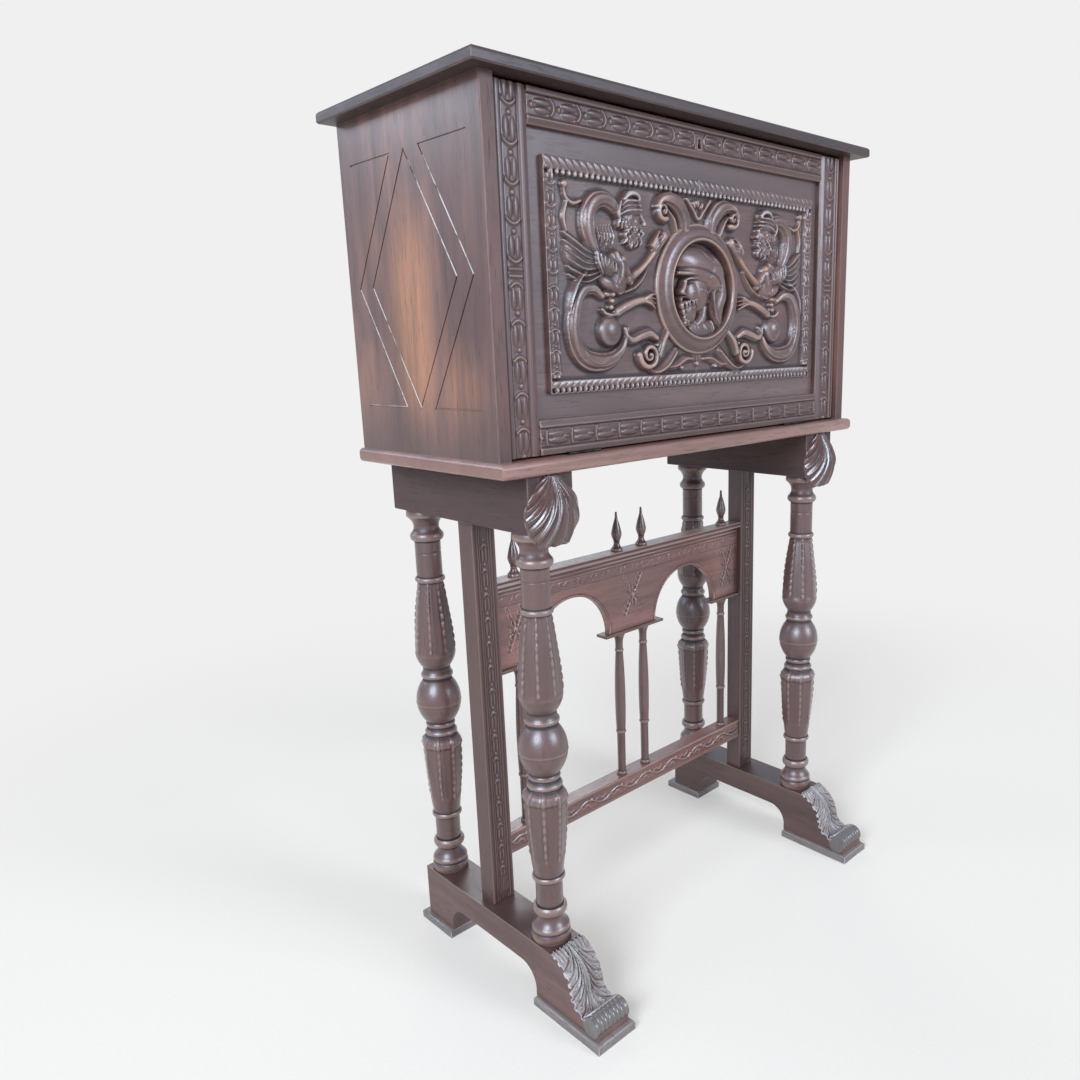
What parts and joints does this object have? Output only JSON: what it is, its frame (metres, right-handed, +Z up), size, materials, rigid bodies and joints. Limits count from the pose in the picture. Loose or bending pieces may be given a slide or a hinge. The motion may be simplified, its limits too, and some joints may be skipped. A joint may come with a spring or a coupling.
{
  "type": "vargueno",
  "caption": "Drop-front writing cabinet with carved front and fitted interior on a trestle stand with turned columns, arcaded stretcher, sled feet and pull-out lopers.",
  "frame": {"origin": "on the floor, in the middle of the outline of the feet", "axes": "+Z up; -Y is the front, where the fall front opens; +X to the right seen from the front"},
  "size_m": [0.8508, 0.453, 1.3053],
  "materials": {
    "walnut": "satin, waxed",
    "carved_walnut": "satin, waxed, rubbed on the high points",
    "inner_walnut": "satin",
    "iron": "dull",
    "brass": "aged"
  },
  "bodies": {
    "stand": {"arcade_abaci": "walnut", "arcade_panel": "walnut", "back_panel": "walnut", "base_board": "walnut", "beam_left": "walnut", "beam_right": "walnut", "colonnette_1": "walnut", "colonnette_2": "walnut", "colonnette_3": "walnut", "colonnette_4": "walnut", "column_back_left": "walnut", "column_back_right": "walnut", "column_front_left": "walnut", "column_front_right": "walnut", "finials": "walnut", "foot_plate_back_left": "walnut", "foot_plate_back_right": "walnut", "foot_plate_front_left": "walnut", "foot_plate_front_right": "walnut", "hinge_leaves_fixed": "iron", "hinge_pins": "iron", "lower_rail": "walnut", "nest_dividers": "inner_walnut", "nest_floor": "inner_walnut", "nest_partition_left": "inner_walnut", "nest_partition_right": "inner_walnut", "niche_arch": "inner_walnut", "post_left": "walnut", "post_right": "walnut", "side_left": "walnut", "side_right": "walnut", "sled_left": "carved_walnut", "sled_right": "carved_walnut", "strike_plate": "iron", "top_board": "walnut"},
    "fall_front": {"flap_stile_left": "carved_walnut", "flap_stile_right": "carved_walnut", "flap_rail_top": "carved_walnut", "flap_rail_bottom": "carved_walnut", "flap_panel": "carved_walnut", "plaque": "carved_walnut", "hinge_leaves_moving": "iron", "lock_case": "iron"},
    "lock_bolt": {"lock_bolt": "iron"},
    "loper_left": {"loper_left": "walnut", "shell_left": "carved_walnut"},
    "loper_right": {"loper_right": "walnut", "shell_right": "carved_walnut"},
    "drawer_upper_left": {"drawer_upper_left": "inner_walnut", "knob_upper_left": "brass"},
    "drawer_upper_right": {"drawer_upper_right": "inner_walnut", "knob_upper_right": "brass"},
    "drawer_lower_left": {"drawer_lower_left": "inner_walnut", "knob_lower_left": "brass"},
    "drawer_lower_right": {"drawer_lower_right": "inner_walnut", "knob_lower_right": "brass"}
  },
  "joints": [
    {"name": "fall_front_hinge", "type": "hinge", "parent": "stand", "child": "fall_front", "pos_m": [0, -0.1148, 0.8368], "axis": [1, 0, 0], "range_deg": [0, 95]},
    {"name": "lock_bolt_slide", "type": "slide", "parent": "fall_front", "child": "lock_bolt", "axis": [0, 0, 1], "range_m": [0, 0.006]},
    {"name": "loper_left_slide", "type": "slide", "parent": "stand", "child": "loper_left", "axis": [0, -1, 0], "range_m": [0, 0.262]},
    {"name": "loper_right_slide", "type": "slide", "parent": "stand", "child": "loper_right", "axis": [0, -1, 0], "range_m": [0, 0.262]},
    {"name": "drawer_upper_left_slide", "type": "slide", "parent": "stand", "child": "drawer_upper_left", "axis": [0, -1, 0], "range_m": [0, 0.2]},
    {"name": "drawer_upper_right_slide", "type": "slide", "parent": "stand", "child": "drawer_upper_right", "axis": [0, -1, 0], "range_m": [0, 0.2]},
    {"name": "drawer_lower_left_slide", "type": "slide", "parent": "stand", "child": "drawer_lower_left", "axis": [0, -1, 0], "range_m": [0, 0.2]},
    {"name": "drawer_lower_right_slide", "type": "slide", "parent": "stand", "child": "drawer_lower_right", "axis": [0, -1, 0], "range_m": [0, 0.2]}
  ],
  "couplings": [
    {"joint": "drawer_upper_left_slide", "follows": "fall_front_hinge", "m_per_rad": 0.12},
    {"joint": "drawer_upper_right_slide", "follows": "fall_front_hinge", "m_per_rad": 0.12},
    {"joint": "drawer_lower_left_slide", "follows": "fall_front_hinge", "m_per_rad": 0.12},
    {"joint": "drawer_lower_right_slide", "follows": "fall_front_hinge", "m_per_rad": 0.12}
  ]
}
